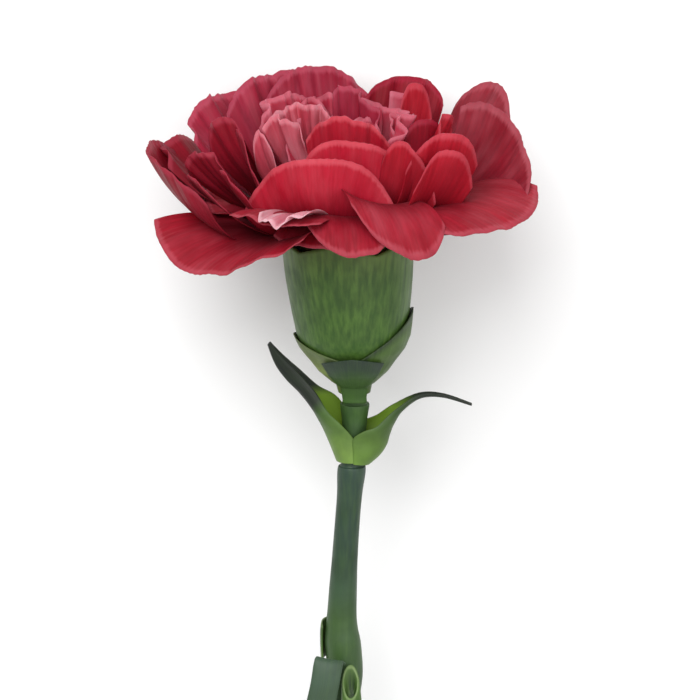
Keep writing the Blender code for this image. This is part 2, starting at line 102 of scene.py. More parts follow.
# %% outline of the stem, and the matrix that lays the flower down
STEM = [(STEM_R, -STEM_BELOW), (STEM_R, -155), (STEM_R, -122),
        (2.7, -118.5), (3.2, -116), (3.3, -113.5), (2.9, -111), (2.6, -107),
        (2.55, -85), (2.65, -66),
        (3.0, -61), (3.35, -57), (3.45, -53), (3.4, -50), (3.05, -47.5), (2.8, -44.5),
        (2.65, -40), (2.45, -34), (2.35, -26), (2.4, -21), (2.65, -17.5), (2.6, -15.8),
        (2.1, -15.2), (2.05, -12), (2.25, -8.5), (2.45, -6), (2.75, -3.7), (2.25, -3.2),
        (2.1, 0)]
stem_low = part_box("stem")[0]
leftmost = min(float(stem_line(np.array(z))) - r for r, z in STEM)
foot = Vector((stem_low.x / MM - leftmost,
               stem_low.y / MM + STEM_BELOW * math.cos(TILT) + STEM_R * math.sin(TILT),
               LIFT - FLAT))
laid = Matrix.Scale(MM, 4) @ Matrix.Translation(foot) @ Matrix.Rotation(TILT - math.pi / 2, 4, "X")
print("foot of the calyx in mm", [round(c, 2) for c in foot])

# %% [markdown]
# ## A petal
# A carnation petal is a fan on a narrow claw. The claw stands upright in the calyx, and
# the blade bends out over its mouth. Such a blade could be sculpted by hand, but a
# flower with fifty of them needs a recipe. Here a petal is described by its rim, the part
# that everyone sees: where the rim's middle stands, how long it is and how it hangs.

# %% the plan of one petal
PLAIN = dict(
    r=8.5, h=29.5, root=None, claw=5.0,   # where the claw starts, and its width
    width=20.0,       # length of the rim
    wrap=0.8,         # 1: the rim follows a circle round the axis, 0: it is straight
    turn=0.0,         # degrees the rim is swung in plan, right end inwards
    droop=4.0,        # how far the ends of the rim hang under its middle
    square=2.4,       # how late along the rim that droop sets in
    tilt=0.0,         # right end of the rim higher than the left by this much
    belly=0.0,        # bulge: above 0 cupped upwards, below 0 arched and hanging over
    fan=0.75,         # how early the blade spreads
    corner=0.12,      # rounding of the two corners of the blade
    ruffle=1.0, waves=2.0, phase=0.0, edge=3.0,   # waves of the margin
    curl=0.0,         # how far the margin rolls outwards
)
print(len(PLAIN), "measures besides azimuth, reach and top")

# %% [markdown]
# The azimuth of a petal is 0 at the front and grows to the right. Across the petal, u
# runs from -1 to 1. The rim is an arc whose middle lies at reach from the axis and at
# height top; it is swung in plan, and its ends hang. The root is the same kind of arc,
# only as short as the claw is wide.

# %% rim and root
UP = np.array((0.0, 0.0, 1.0))


def ways(p):
    """Outwards and sideways at the azimuth of petal p."""
    az = math.radians(p["az"])
    return np.array((math.sin(az), -math.cos(az), 0.0)), np.array((math.cos(az), math.sin(az), 0.0))


def petal_rim(p, u):
    out, side = ways(p)
    bend = p["wrap"] / p["reach"]
    along = u * p["width"] / 2
    a = np.sin(bend * along) / bend
    b = (np.cos(bend * along) - 1) / bend
    t = math.radians(p["turn"])
    a, b = a * math.cos(t) + b * math.sin(t), b * math.cos(t) - a * math.sin(t)
    high = p["top"] + p["tilt"] * u / 2 - p["droop"] * np.abs(u) ** p["square"]
    return (p["reach"] + b)[:, None] * out + a[:, None] * side + high[:, None] * UP


def petal_root(p, u):
    start = math.radians(p["az"] if p["root"] is None else p["root"])
    start = start + u * p["claw"] / 2 / max(p["r"], 3.0)
    return np.stack((p["r"] * np.sin(start), -p["r"] * np.cos(start), 0 * u + p["h"]), -1)


print("a rim's middle, mm", petal_rim({**PLAIN, "az": 0, "reach": 20, "top": 50}, np.zeros(1)).tolist())

# %% [markdown]
# Between root and rim runs a cubic curve, the same kind that a curve object in Blender
# has: two inner points pull it. Pushing both to one side makes the blade cupped or
# arched, and moving them sideways early makes it a fan and not a strip.

# %% the smooth blade
CUBIC_PULL = 1.33             # a cubic's middle follows its inner points three quarters
FAN_SHARE = 0.8               # share of the sideways spread that fan hastens
FAN_STEP, FAN_MOST = 0.25, 1.02


def bare_petal(p, u, v):
    """The petal without its crumples; v runs from 0 at the claw to 1 at the rim."""
    out, side = ways(p)
    root, rim = petal_root(p, u), petal_rim(p, u)
    run = p["reach"] - p["r"]
    rise = p["top"] - p["h"]
    bulge = p["belly"] * CUBIC_PULL * (rise * out - run * UP) / math.hypot(run, rise)
    chord = rim - root
    spread = (chord @ side)[:, None] * side * FAN_SHARE
    later = min(p["fan"] + FAN_STEP, FAN_MOST)
    first = root + chord / 3 + bulge + (p["fan"] - 1 / 3) * spread
    second = root + chord * 2 / 3 + bulge + (later - 2 / 3) * spread
    w = (v * (1 - p["corner"] * np.abs(u) ** 3))[:, None]
    return ((1 - w) ** 3 * root + 3 * w * (1 - w) ** 2 * first
            + 3 * w ** 2 * (1 - w) * second + w ** 3 * rim)


print("curve from claw to rim is ready")

# %% [markdown]
# The margin of a petal is nicked into small teeth and crimped, and fine pleats run from
# the claw to the teeth. The petals of the crown and the heart are the most ragged. A
# texture could only fake this, and the outline would stay smooth, so the surface itself
# is moved: waves, crimps and pleats along its normal, and the nicks along its length.

# %% depths of the crumples, in mm
TOOTH_PITCH = 1.6             # from nick to nick along the margin
NICKS = {"crown": 0.45, "heart": 0.5, "blush": 0.4, "tall": 0.25, "left": 0.2}
PLAIN_NICK = 0.12
CRIMP = 0.22
PLEAT = 0.035
PRESSED = 0.2                 # a pressed petal's middle is this far above the table


def nicked(p, u, v, beat):
    """v drawn back from the rim where the margin has a nick."""
    teeth = p["width"] / TOOTH_PITCH
    saw = np.abs(((u + 0.06 * np.sin(5 * u + beat[0])) * teeth / 2 + beat[1]) % 1.0 - 0.5) * 2
    notch = (0.2 + 0.8 * np.sin(3.1 * u + beat[2]) ** 2) * saw * NICKS.get(p["layer"], PLAIN_NICK)
    length = math.hypot(p["reach"] - p["r"], p["top"] - p["h"])
    return v * (1 - notch / length * np.clip((v - 0.8) / 0.2, 0, 1) ** 2)


def crumple(p, u, v, beat):
    """How far the blade stands off its smooth form."""
    turns = p["waves"] * math.pi * u + p["phase"]
    wave = p["ruffle"] * v ** p["edge"] * (np.sin(turns) + 0.45 * np.sin(2.3 * turns))
    crimp = CRIMP * v ** 5 * np.sin(0.55 * p["width"] * u + 1.5 * np.sin(3 * u + beat[3]) + beat[4])
    pleat = PLEAT * v ** 1.5 * np.sin(2.4 * p["width"] * u + 2 * np.sin(4 * u + beat[5]))
    roll = p["curl"] * np.clip((v - 0.55) / 0.45, 0, 1) ** 2
    return wave + roll + crimp + pleat


print("nicks", TOOTH_PITCH, "mm apart, up to", max(NICKS.values()), "mm deep")

# %% [markdown]
# To move a surface along its normal, the normal has to be known. The cross product of
# two short steps on the surface, one across and one along, gives it anywhere. The two
# low petals that carry the bloom are pressed flat by the table.

# %% the crumpled petal
STEP = 0.02


def petal_formula(p, seed):
    draw = random.Random(seed)
    beat = [draw.uniform(0, 6.28) for _ in range(6)]

    def formula(u, v):
        v = nicked(p, u, v, beat)
        du = bare_petal(p, u + STEP, v) - bare_petal(p, u - STEP, v)
        dv = bare_petal(p, u, v + STEP) - bare_petal(p, u, v - STEP)
        normal = np.cross(du, dv)
        normal = normal / np.linalg.norm(normal, axis=1)[:, None]
        at = bare_petal(p, u, v) + normal * crumple(p, u, v, beat)[:, None]
        above = LIFT + at[:, 2] * math.sin(TILT) - at[:, 1] * math.cos(TILT)
        push = np.maximum(FLAT + PRESSED - above, 0)
        at[:, 1] = at[:, 1] - push / math.cos(TILT)
        return at
    return formula


print("petals are measured in steps of", STEP)

# %% [markdown]
# ## Where the petals stand
# A double carnation has some fifty petals in several layers. The large ones give this
# bloom its own look, so they are placed one by one; the ring at the back and the crumpled
# heart follow a rule with seeded chance. The lowest layer comes first: guard petals
# round the front of the mouth. The first of them droops far out to the left.

# %% guard petals at the front
garden = []


def petal(layer, az, reach, top, **shape):
    garden.append({**PLAIN, **shape, "layer": layer, "az": az, "reach": reach, "top": top})


petal("guard", -53, 33, 26, r=9.5, h=29.7, width=36, wrap=1.2, turn=20, droop=-6.5, tilt=1,
      belly=-2.5, ruffle=0.8, waves=1.5, phase=2.2, edge=2, corner=0.06)
petal("guard", -33, 29.5, 36.5, r=9.3, h=29.7, width=19.5, wrap=1.4, turn=8, droop=1, tilt=-1,
      belly=-3, ruffle=0.5, waves=1.5, phase=0.2)
petal("guard", 1, 28.5, 31, r=9, h=29.7, root=-30, width=19, wrap=1.5, turn=-10, droop=-2,
      belly=-5.5, ruffle=0.3, waves=1.5, phase=1.0, fan=1.0, corner=0.2)
petal("guard", 19, 31, 31, r=9, h=29.9, root=-20, width=18, wrap=1.7, turn=-20, droop=-2.5,
      tilt=-5, belly=-8, ruffle=0.3, waves=1.4, phase=0.4, fan=1.0, corner=0.16)
petal("guard", 56, 36, 35, r=9.3, h=29.7, root=45, width=28, wrap=2.0, turn=-11, droop=-1, tilt=5,
      belly=-5, ruffle=0.4, waves=1.2, phase=0.8, fan=1.0, corner=0.04)
petal("pale", -26, 30.5, 36.5, r=9.3, h=29.7, width=9, wrap=1.5, turn=16, droop=-1.5, tilt=1,
      belly=-3, ruffle=0.6, waves=2.2, phase=0.8)
petal("guard", -12, 21, 30.5, r=9.5, h=29.7, width=22, droop=0, belly=-3, ruffle=0.3)
print(len(garden), "petals so far")

# %% [markdown]
# On the left one large petal is cupped like a boat, and narrower ones stand inside it.
# Where petals crowd, they are seen on edge, so they are narrow and turned in plan.

# %% left side
petal("left", -85, 37, 45, r=9, h=30.5, width=30, wrap=2.2, turn=12, droop=1, tilt=-6, belly=6.5,
      ruffle=0.3, waves=1.2, phase=0.8)
petal("left", -109, 36, 44.5, width=22, wrap=1.1, droop=0, belly=3, ruffle=0.8, waves=1.9,
      phase=0.3)
petal("left", -63, 31.5, 42, r=9, h=30, width=9.5, wrap=1.1, turn=22, droop=0.5, tilt=-4, belly=3,
      ruffle=0.2, waves=1.2)
petal("left", -78, 28.5, 45.5, width=11, turn=40, droop=2, tilt=2, belly=2, ruffle=0.6, waves=2.5,
      phase=0.8)
petal("left", -55, 27, 43, r=8, width=7.5, wrap=0.8, turn=12, droop=0, tilt=-5, belly=3,
      ruffle=0.2, waves=1.2)
petal("left", -64, 21.5, 47.5, r=7, width=11, wrap=1.0, turn=3, droop=1.5, tilt=-12, belly=3,
      ruffle=0.2, waves=1.2)
petal("left", -81, 24.5, 51.5, r=7, width=9, wrap=1.5, turn=50, droop=2.5, tilt=4, belly=2,
      ruffle=0.4, waves=1.6, phase=1.8)
petal("blush", -64, 18.5, 50, r=6, width=5, wrap=1.0, turn=30, droop=4, belly=2, ruffle=0.2,
      corner=0.2)
print(len(garden), "petals so far")

# %% [markdown]
# Three broad petals stand one behind the other at the front, like low walls. Their tops
# roll outwards.

# %% front walls
petal("front", -19, 18, 46.5, r=8.5, h=30, width=29, turn=10, droop=8.5, tilt=2, belly=4,
      ruffle=0.3, waves=1.0, phase=1.5, square=2.8, curl=1.6)
petal("front", 3, 13.5, 49, r=6, width=20, wrap=0.9, turn=2, droop=5, tilt=-3, belly=3,
      ruffle=0.3, waves=1.2, phase=0.5, square=3, curl=1.4)
petal("front", 2, 9.5, 52.4, r=4, width=18, wrap=0.7, turn=3, droop=4, tilt=-4, ruffle=0.8,
      waves=3.2, phase=0.5, square=2.6)
print(len(garden), "petals so far")

# %% [markdown]
# On the right, rounded petals face the front, and behind them two tall ones lean out.

# %% right side
petal("right", 34, 19.5, 48.5, r=6, width=11, wrap=0.8, turn=-50, droop=4.5, tilt=-8, belly=2.5,
      ruffle=0.3)
petal("right", 43, 26.5, 48.5, r=8, width=12, wrap=2.0, turn=-26, droop=5, belly=3, ruffle=0.3,
      waves=1.0, fan=1.1)
petal("right", 48, 24, 51, r=7, width=15, wrap=1.5, turn=-32, droop=4, belly=3, ruffle=0.4,
      waves=1.3, fan=1.1)
petal("tall", 90, 30.5, 49, width=23, wrap=1.6, turn=37, droop=1.5, tilt=17, belly=3.5,
      ruffle=0.4, waves=1.2, phase=0.5)
petal("tall", 117, 30.5, 55, r=7.5, h=30, width=15.5, wrap=1.5, turn=19, droop=5, tilt=2, belly=2,
      ruffle=0.6, waves=1.6, phase=0.5)
print(len(garden), "petals so far")

# %% [markdown]
# Behind the right side a petal, dark with painted shade, is bent into a hood, and a
# bud-like petal stands in it.

# %% the hood
petal("right", 120, 14, 56, r=4, width=9, wrap=1.0, turn=78, droop=5, belly=2.5, ruffle=0.2,
      corner=0.2)
petal("hood", 80, 14, 51, r=5, width=12, wrap=1.8, turn=-53, droop=4, belly=2.5, ruffle=0.2,
      corner=0.2)
petal("right", 90, 18, 51.5, r=5, width=8.5, wrap=0.2, turn=-33, droop=4.5, belly=1, ruffle=0.4)
petal("hood", 152, 23, 55, r=7.5, h=30, width=19, wrap=2.5, turn=25, droop=1.5, belly=1.5,
      ruffle=0.8, waves=1.8, phase=2.5)
petal("crown", 163, 6, 54.5, r=4, width=13, wrap=0.2, turn=-25, droop=1, tilt=7, belly=1,
      ruffle=0.8, waves=2.5)
print(len(garden), "petals so far")

# %% [markdown]
# The crown of tall petals closes the bloom at the back. In front of it are a few
# crumpled, paler petals, seen almost from their edge.

# %% crown and pale petals
petal("crown", 196, 21, 57, r=7.5, h=30, width=24, wrap=0.7, turn=-4, droop=5, tilt=3, belly=1,
      waves=2.6, phase=0.5)
petal("crown", 217, 26, 55.5, r=7.5, h=30, width=24, turn=-4, droop=3, tilt=-2, belly=1,
      waves=2.6, phase=1.5)
petal("crown", 238, 31, 52, r=7.5, h=30, width=24, wrap=0.9, turn=-4, droop=3, tilt=-3, belly=1.5,
      waves=2.4, phase=3.5)
petal("blush", -90, 9, 53.5, r=3, width=15, wrap=0.2, turn=-86, droop=2, belly=1, ruffle=1.8,
      waves=3.2)
petal("blush", -69, 14, 52, r=3, width=9, wrap=0.5, turn=55, droop=2, belly=1, ruffle=1.4,
      waves=2.2)
petal("pale", -42, 8, 50.5, r=3, width=8, wrap=3, turn=20, droop=3, belly=1, ruffle=0.4,
      waves=1.5)
print(len(garden), "petals so far")

# %% [markdown]
# The back has a plain ring of guard petals, and two of them carry the bloom on the
# table. Rings of crumpled petals fill the heart. Chance is drawn from a seeded source, so
# that the flower is the same each time.

# %% ring at the back, and the heart
rng = random.Random(5)
for az, reach in ((100, 33), (127, 33), (153, 37.5), (180, 29), (207, 37.5), (233, 33), (258, 27)):
    petal("guard", az, reach, 35.5 + rng.uniform(-1, 1), r=9.3, h=29.7, width=18.5, wrap=0.9,
          tilt=-4, droop=rng.uniform(0, 2), belly=rng.uniform(-2, -1), ruffle=0.6,
          waves=rng.uniform(1.4, 2.2), phase=rng.uniform(0, 6))
for az in (136, 170, 200, 226, 250):
    petal("heart", az + rng.uniform(-6, 6), 16.5 + rng.uniform(-1, 1),
          52.5 + rng.uniform(-1.5, 1), r=5, width=13, wrap=1.0, droop=rng.uniform(1, 4),
          belly=rng.uniform(-1, 1), ruffle=1.5, waves=rng.uniform(1.5, 2.5), phase=rng.uniform(0, 6),
          turn=rng.uniform(-20, -8))
for az in (85, 125, 190, 235, 270):
    petal("heart", az + rng.uniform(-8, 8), 10.5 + rng.uniform(-0.8, 0.8),
          51.5 + rng.uniform(-1.5, 1), r=3, width=13, wrap=rng.uniform(0.3, 1.2),
          droop=rng.uniform(1, 4), belly=rng.uniform(-1, 1), ruffle=1.6,
          waves=rng.uniform(1.5, 2.5), phase=rng.uniform(0, 6),
          turn=rng.uniform(-25, -10))
for k in range(3):
    petal("heart", 120 * k + 20 + rng.uniform(-8, 8), 5, 50 + rng.uniform(-1.5, 1), r=1.5, width=9,
          wrap=rng.uniform(0.3, 1.0), droop=rng.uniform(1, 4), belly=rng.uniform(-1, 0), ruffle=1.1,
          waves=rng.uniform(1.5, 2.5), phase=rng.uniform(0, 6), turn=rng.uniform(-20, 20))
print(len(garden), "petals in all")

# %% [markdown]
# ## From a formula to a thin solid
# Each petal is a grid of points on its middle surface. Solidify could thicken it, but
# its thickness would be even, and a petal thins out to its margin. So each point is
# pushed to both sides along the normal by a half thickness of its own, and the two skins
# are closed along the edge. The points also keep marks: how far across and along the
# blade they are, on which side, and a chance number for each blade. The finishes read
# these marks, which is how veins can follow the petal.

# %% points and faces that become one piece
class Growth:
    """Blades and bodies that are made into one piece at the end."""
    def __init__(self):
        self.points, self.faces, self.marks = [], [], []
        self.count = 0

    def add(self, points, faces, marks):
        self.points.append(points)
        self.faces.extend([tuple(i + self.count for i in f) for f in faces])
        self.marks.append(marks)
        self.count += len(points)

    def piece(self, name, node, slot, skin):
        """Lay the points down, and let the piece stand in for a node of the frame."""
        mesh = bpy.data.meshes.new(name)
        mesh.from_pydata(np.concatenate(self.points).tolist(), [], self.faces)
        mesh.transform(laid)
        for vert in mesh.vertices:      # flat where it rests on the table
            vert.co.z = max(vert.co.z, 0.0)
        marks = np.concatenate(self.marks)
        for column, title in enumerate(("across", "along", "side", "chance")):
            mesh.attributes.new(title, "FLOAT", "POINT").data.foreach_set("value", marks[:, column])
        corner = np.zeros(len(mesh.loops), int)
        mesh.loops.foreach_get("vertex_index", corner)
        flat_map = mesh.uv_layers.new(name="UVMap")
        flat_map.data.foreach_set("uv", (marks[corner][:, :2] * 0.5 + 0.5).reshape(-1))
        mesh.shade_smooth()
        mesh.materials.append(skin)
        made = bpy.data.objects.new(name, mesh)
        bpy.context.scene.collection.objects.link(made)
        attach(made, "root")
        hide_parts(node)
        print(name, "triangles", sum(len(f) - 2 for f in self.faces))


print("marks: across, along, side, chance")

# %% [markdown]
# The two skins have the same points in the same order, so a face of the inner skin is the
# outer one turned over, and the edge is a strip of quads between them.

# %% a blade
def blade(growth, formula, across, along, thick, thin, scale, chance=0.0):
    """thick is the thickness in the middle, thin at the margin; scale is what the mark
    across comes to at the margin."""
    u, v = np.meshgrid(np.linspace(-1, 1, across + 1), np.linspace(0, 1, along + 1))
    at = formula(u.ravel(), v.ravel()).reshape(along + 1, across + 1, 3)
    normal = np.cross(np.gradient(at, axis=1), np.gradient(at, axis=0))
    normal = normal / np.maximum(np.linalg.norm(normal, axis=2), 1e-9)[:, :, None]
    margin = np.maximum(np.abs(u) ** 6, v ** 6)
    half = ((thick + (thin - thick) * margin) / 2)[:, :, None]
    outer = (at + normal * half).reshape(-1, 3)
    inner = (at - normal * half).reshape(-1, 3)
    n = across + 1
    size = n * (along + 1)
    faces = []
    for j in range(along):
        for i in range(across):
            a, b, c, d = j * n + i, j * n + i + 1, (j + 1) * n + i + 1, (j + 1) * n + i
            faces.append((a, b, c, d))
            faces.append((size + a, size + d, size + c, size + b))
    edge = ([i for i in range(across)] + [j * n + across for j in range(along)]
            + [along * n + i for i in range(across, 0, -1)] + [j * n for j in range(along, 0, -1)])
    for a, b in zip(edge, edge[1:] + edge[:1]):
        faces.append((b, a, size + a, size + b))
    marks = np.zeros((2 * size, 4))
    marks[:, 0] = np.tile(u.ravel() * scale, 2)
    marks[:, 1] = np.tile(v.ravel(), 2)
    marks[size:, 2] = 1.0
    marks[:, 3] = chance
    growth.add(np.concatenate((outer, inner)), faces, marks)


print("a blade is closed all round")

# %% [markdown]
# ## Colour without pictures
# Petals and leaves are coloured mostly by what grows in them: veins and a paler rim.
# Their darker throat is partly pigment and partly painted shade deep in the bloom. A
# painted picture would have to be wrapped on fifty crumpled blades. Noise that is read at
# the marks needs no wrapping and never repeats. These helpers add one node each and give
# back its output, so that a finish reads like a recipe.

# %% a new finish, and what it is fed with
def new_skin(name):
    made = bpy.data.materials.new(name)
    made.use_nodes = True
    return made, made.node_tree, made.node_tree.nodes["Principled BSDF"]


def feed(tree, socket, value):
    """Link a socket to another node's output, or set it to a number or a colour."""
    if isinstance(value, bpy.types.NodeSocket):
        tree.links.new(value, socket)
    else:
        socket.default_value = value if isinstance(value, float) else (*value, 1.0)


def read_mark(tree, title):
    made = tree.nodes.new("ShaderNodeAttribute")
    made.attribute_name = title
    return made.outputs["Fac"]


def own_place(tree):
    return tree.nodes.new("ShaderNodeTexCoord").outputs["Object"]


print("marks and places can be read")

# %% [markdown]
# Sums, blends of two colours and ramps are all that the finishes need. A ramp turns a
# number into a colour, or stretches a soft noise into clear lines.

# %% sums, blends and ramps
def reckon(tree, operation, a, b=0.0):
    made = tree.nodes.new("ShaderNodeMath")
    made.operation = operation
    feed(tree, made.inputs[0], a)
    feed(tree, made.inputs[1], b)
    return made.outputs[0]


def waver(tree, value, cloud, amount):
    """value with its bounds made uneven by a noise."""
    return reckon(tree, "ADD", value, reckon(tree, "MULTIPLY", cloud, amount))


def blend(tree, share, a, b):
    made = tree.nodes.new("ShaderNodeMix")
    made.data_type = "RGBA"
    for socket, value in ((0, share), (6, a), (7, b)):
        feed(tree, made.inputs[socket], value)
    return made.outputs[2]


def ramp(tree, share, stops):
    made = tree.nodes.new("ShaderNodeValToRGB")
    tree.links.new(share, made.inputs[0])
    for extra in stops[2:]:
        made.color_ramp.elements.new(extra[0])
    for element, (place, colour) in zip(made.color_ramp.elements, stops):
        element.position = place
        element.color = (*colour, 1.0)
    return made.outputs[0]


def grey(x):
    return (x, x, x)


print("sums, blends and ramps are ready")

# %% [markdown]
# Veins are noise drawn out along the blade. The chance number shifts the noise, so no two
# blades carry the same veins.

# %% noise, and noise drawn out along a blade
def noise(tree, place, grains, detail):
    made = tree.nodes.new("ShaderNodeTexNoise")
    tree.links.new(place, made.inputs["Vector"])
    made.inputs["Scale"].default_value = grains
    made.inputs["Detail"].default_value = detail
    return made.outputs[0]


def streaks(tree, across, along, detail=3.0):
    """across and along are grains to the unit of the marks."""
    spot = tree.nodes.new("ShaderNodeCombineXYZ")
    feed(tree, spot.inputs[0], reckon(tree, "MULTIPLY", read_mark(tree, "across"), across))
    feed(tree, spot.inputs[1], reckon(tree, "MULTIPLY", read_mark(tree, "along"), along))
    feed(tree, spot.inputs[2], reckon(tree, "MULTIPLY_ADD", read_mark(tree, "chance"), 7.0))
    return noise(tree, spot.outputs[0], 1.0, detail)


def relief(tree, shader, height, strength):
    """Faint relief that follows a noise."""
    made = tree.nodes.new("ShaderNodeBump")
    made.inputs["Strength"].default_value = strength
    made.inputs["Distance"].default_value = 0.0002
    tree.links.new(height, made.inputs["Height"])
    tree.links.new(made.outputs[0], shader.inputs["Normal"])


print("streaks run from claw to rim")

# %% [markdown]
# ## The finish of a petal
# A petal is a satin crimson, deeper between the veins, washed paler in places and paler
# at the rim. Its throat is darker still, partly pigment and partly painted shade deep
# between the crowded petals. Light passes through it a little, which a thin subsurface
# layer gives; a strong one would make it look like wax. The colours are laid one over the
# other, from the veins to the rim, as a painter would.

# %% petal finish
def petal_skin(name, deep, bright, margin, paler, foot):
    """deep lies in the throat and between the veins, bright on the blade, margin at the
    rim; paler is how far margin washes over the blade, foot how dark the throat is, a
    dark that is partly pigment and partly painted shade."""
    made, tree, shader = new_skin(name)
    fine = streaks(tree, 2.2, 4.0, 4.0)
    broad = streaks(tree, 0.35, 2.5, 2.0)
    along = read_mark(tree, "along")
    colour = blend(tree, ramp(tree, fine, [(0.26, grey(0.45)), (0.66, grey(1.0))]), deep, bright)
    colour = blend(tree, ramp(tree, broad, [(0.40, grey(0.0)), (0.72, grey(paler))]), colour, margin)
    # the throat darkens to deep times foot: partly pigment, partly painted shade in the bloom's depth
    throat = ramp(tree, waver(tree, along, broad, 0.2), [(0.32, grey(1.0)), (0.88, grey(0.0))])
    colour = blend(tree, reckon(tree, "MULTIPLY", throat, 0.9), colour, tuple(c * foot for c in deep))
    blotch = noise(tree, own_place(tree), 120.0, 3.0)
    colour = blend(tree, ramp(tree, blotch, [(0.40, grey(0.35)), (0.62, grey(0.0))]), colour, deep)
    rim = ramp(tree, waver(tree, along, fine, 0.06), [(0.975, grey(0.0)), (1.0, grey(0.35))])
    tree.links.new(blend(tree, rim, colour, margin), shader.inputs["Base Color"])
    rough = ramp(tree, fine, [(0.3, grey(0.62)), (0.7, grey(0.5))])
    tree.links.new(rough, shader.inputs["Roughness"])
    relief(tree, shader, fine, 0.15)
    for title, value in (("Specular IOR Level", 0.15), ("Sheen Weight", 0.02),
                         ("Sheen Tint", (1.0, 0.45, 0.55, 1.0)), ("Sheen Roughness", 0.4),
                         ("Subsurface Weight", 0.12), ("Subsurface Radius", (1.0, 0.20, 0.25)),
                         ("Subsurface Scale", 0.002)):
        shader.inputs[title].default_value = value
    return made


print("petal finish is ready")

# %% [markdown]
# The layers differ in colour: bright rounded petals at the front, mauve ones in the crown
# and pale ones in the heart. The bloom is one crimson, so the dark ones in the hood, the
# tall ones and at the left are darker copies of it, painted shade where those petals stand
# in the shadow of others. One recipe with five measures for each layer keeps them one
# family.

# %% colours of the layers: deep, bright, margin, paler, foot
# left, tall and hood are darker copies of one crimson: painted shade
PETAL_COLOURS = {
    "guard": ((0.14, 0.002, 0.007), (0.29, 0.008, 0.021), (0.42, 0.08, 0.11), 0.24, 0.25),
    "left": ((0.10, 0.001, 0.006), (0.24, 0.006, 0.018), (0.34, 0.04, 0.07), 0.12, 0.25),
    "front": ((0.26, 0.003, 0.012), (0.43, 0.010, 0.030), (0.56, 0.10, 0.13), 0.20, 0.35),
    "right": ((0.20, 0.002, 0.008), (0.38, 0.007, 0.020), (0.48, 0.07, 0.10), 0.14, 0.35),
    "tall": ((0.09, 0.002, 0.007), (0.22, 0.006, 0.018), (0.40, 0.10, 0.13), 0.30, 0.3),
    "hood": ((0.10, 0.001, 0.006), (0.24, 0.003, 0.014), (0.32, 0.02, 0.05), 0.10, 0.25),
    "crown": ((0.15, 0.004, 0.015), (0.30, 0.010, 0.034), (0.44, 0.09, 0.14), 0.36, 0.35),
    "heart": ((0.24, 0.007, 0.022), (0.43, 0.030, 0.062), (0.60, 0.20, 0.26), 0.50, 0.35),
    "blush": ((0.30, 0.020, 0.040), (0.52, 0.070, 0.105), (0.66, 0.28, 0.33), 0.62, 0.35),
    "pale": ((0.34, 0.060, 0.085), (0.58, 0.20, 0.25), (0.70, 0.46, 0.50), 0.85, 0.35),
}
petal_skins = {}
for layer, colours in PETAL_COLOURS.items():
    petal_skins[layer] = petal_skin("petal_" + layer, *colours)
print(len(petal_skins), "petal finishes")

# %% [markdown]
# ## The bloom
# All the petals of one layer make one piece, because they share a finish. Petals are 0.2
# to 0.3 mm thick. A wide one gets more points across, so that its pleats stay fine.

# %% grow the petals
PETAL_THICK, MARGIN_THICK = 0.3, 0.14
PETAL_ROWS = 22
layers = {layer: Growth() for layer in petal_skins}
for k, p in enumerate(garden):
    columns = 3 * int(p["width"]) + 8
    blade(layers[p["layer"]], petal_formula(p, 100 + k), columns, PETAL_ROWS, PETAL_THICK,
          MARGIN_THICK, scale=p["width"] / 2, chance=k * 0.37)
print(len(garden), "petals grown in", len(layers), "layers")

# %% [markdown]
# A round body is an outline turned about Z. A Screw modifier would leave no marks, so it
# is turned here, point by point, and then bent by a function. Its marks across start and
# end at the back, where nobody looks.

# %% a turned body
def turned(growth, outline, around, form):
    """outline is (radius, height), from foot to top; form places the upright points."""
    outline = np.array(outline, float)
    rows = len(outline)
    turn = np.linspace(-math.pi, math.pi, around, endpoint=False)
    r, z = outline[:, 0][:, None], outline[:, 1][:, None]
    points = form((r * np.sin(turn)).ravel(), (-r * np.cos(turn)).ravel(), (z + 0 * turn).ravel())
    faces = []
    for j in range(rows - 1):
        for i in range(around):
            k = (i + 1) % around
            faces.append((j * around + i, j * around + k, (j + 1) * around + k, (j + 1) * around + i))
    faces.append(tuple(reversed(range(around))))
    faces.append(tuple((rows - 1) * around + i for i in range(around)))
    marks = np.zeros((len(points), 4))
    marks[:, 0] = np.tile(turn / math.pi, rows)
    marks[:, 1] = np.repeat(np.linspace(0, 1, rows), around)
    growth.add(points, faces, marks)


def upright(x, y, z):
    return np.stack((x, y, z), -1)


print("bodies can be turned")

# %% [markdown]
# The claws of all the petals crowd together in the calyx, greenish at their foot. They
# are seen only as dark slits between petals, so one tapering body stands for them.

# %% the crowded claws, and the petals on them
CLAWS = [(6.8, 9), (9.0, 13), (9.7, 18), (9.9, 25), (9.8, 31.5), (8.8, 36), (8.0, 40), (6.2, 44),
         (3.2, 46.0), (0.2, 46.8)]
claw_skin, tree, shader = new_skin("claw_skin")
claw_height = waver(tree, read_mark(tree, "along"), streaks(tree, 6.0, 3.0), 0.06)
claw_colour = ramp(tree, claw_height, [(0.0, (0.08, 0.14, 0.04)), (0.50, (0.09, 0.16, 0.04)),
                                       (0.60, (0.20, 0.006, 0.012)), (1.0, (0.26, 0.006, 0.016))])
tree.links.new(claw_colour, shader.inputs["Base Color"])
claws = Growth()
turned(claws, CLAWS, 64, upright)
claws.piece("claws", "bloom", "petal_crimson", claw_skin)
for layer, growth in layers.items():
    growth.piece("petals_" + layer, "bloom", "petal_crimson", petal_skins[layer])

# %% [markdown]
# ## The green finish
# Calyx, scales, stem and leaves are one family of greens: a colour that changes from foot
# to tip, lighter lines drawn along the piece, dark blotches, and on some a bluish bloom of
# wax, which the hand would rub off. On a round body the lines come from noise that is
# stretched along the stem, because marks across would leave a seam.

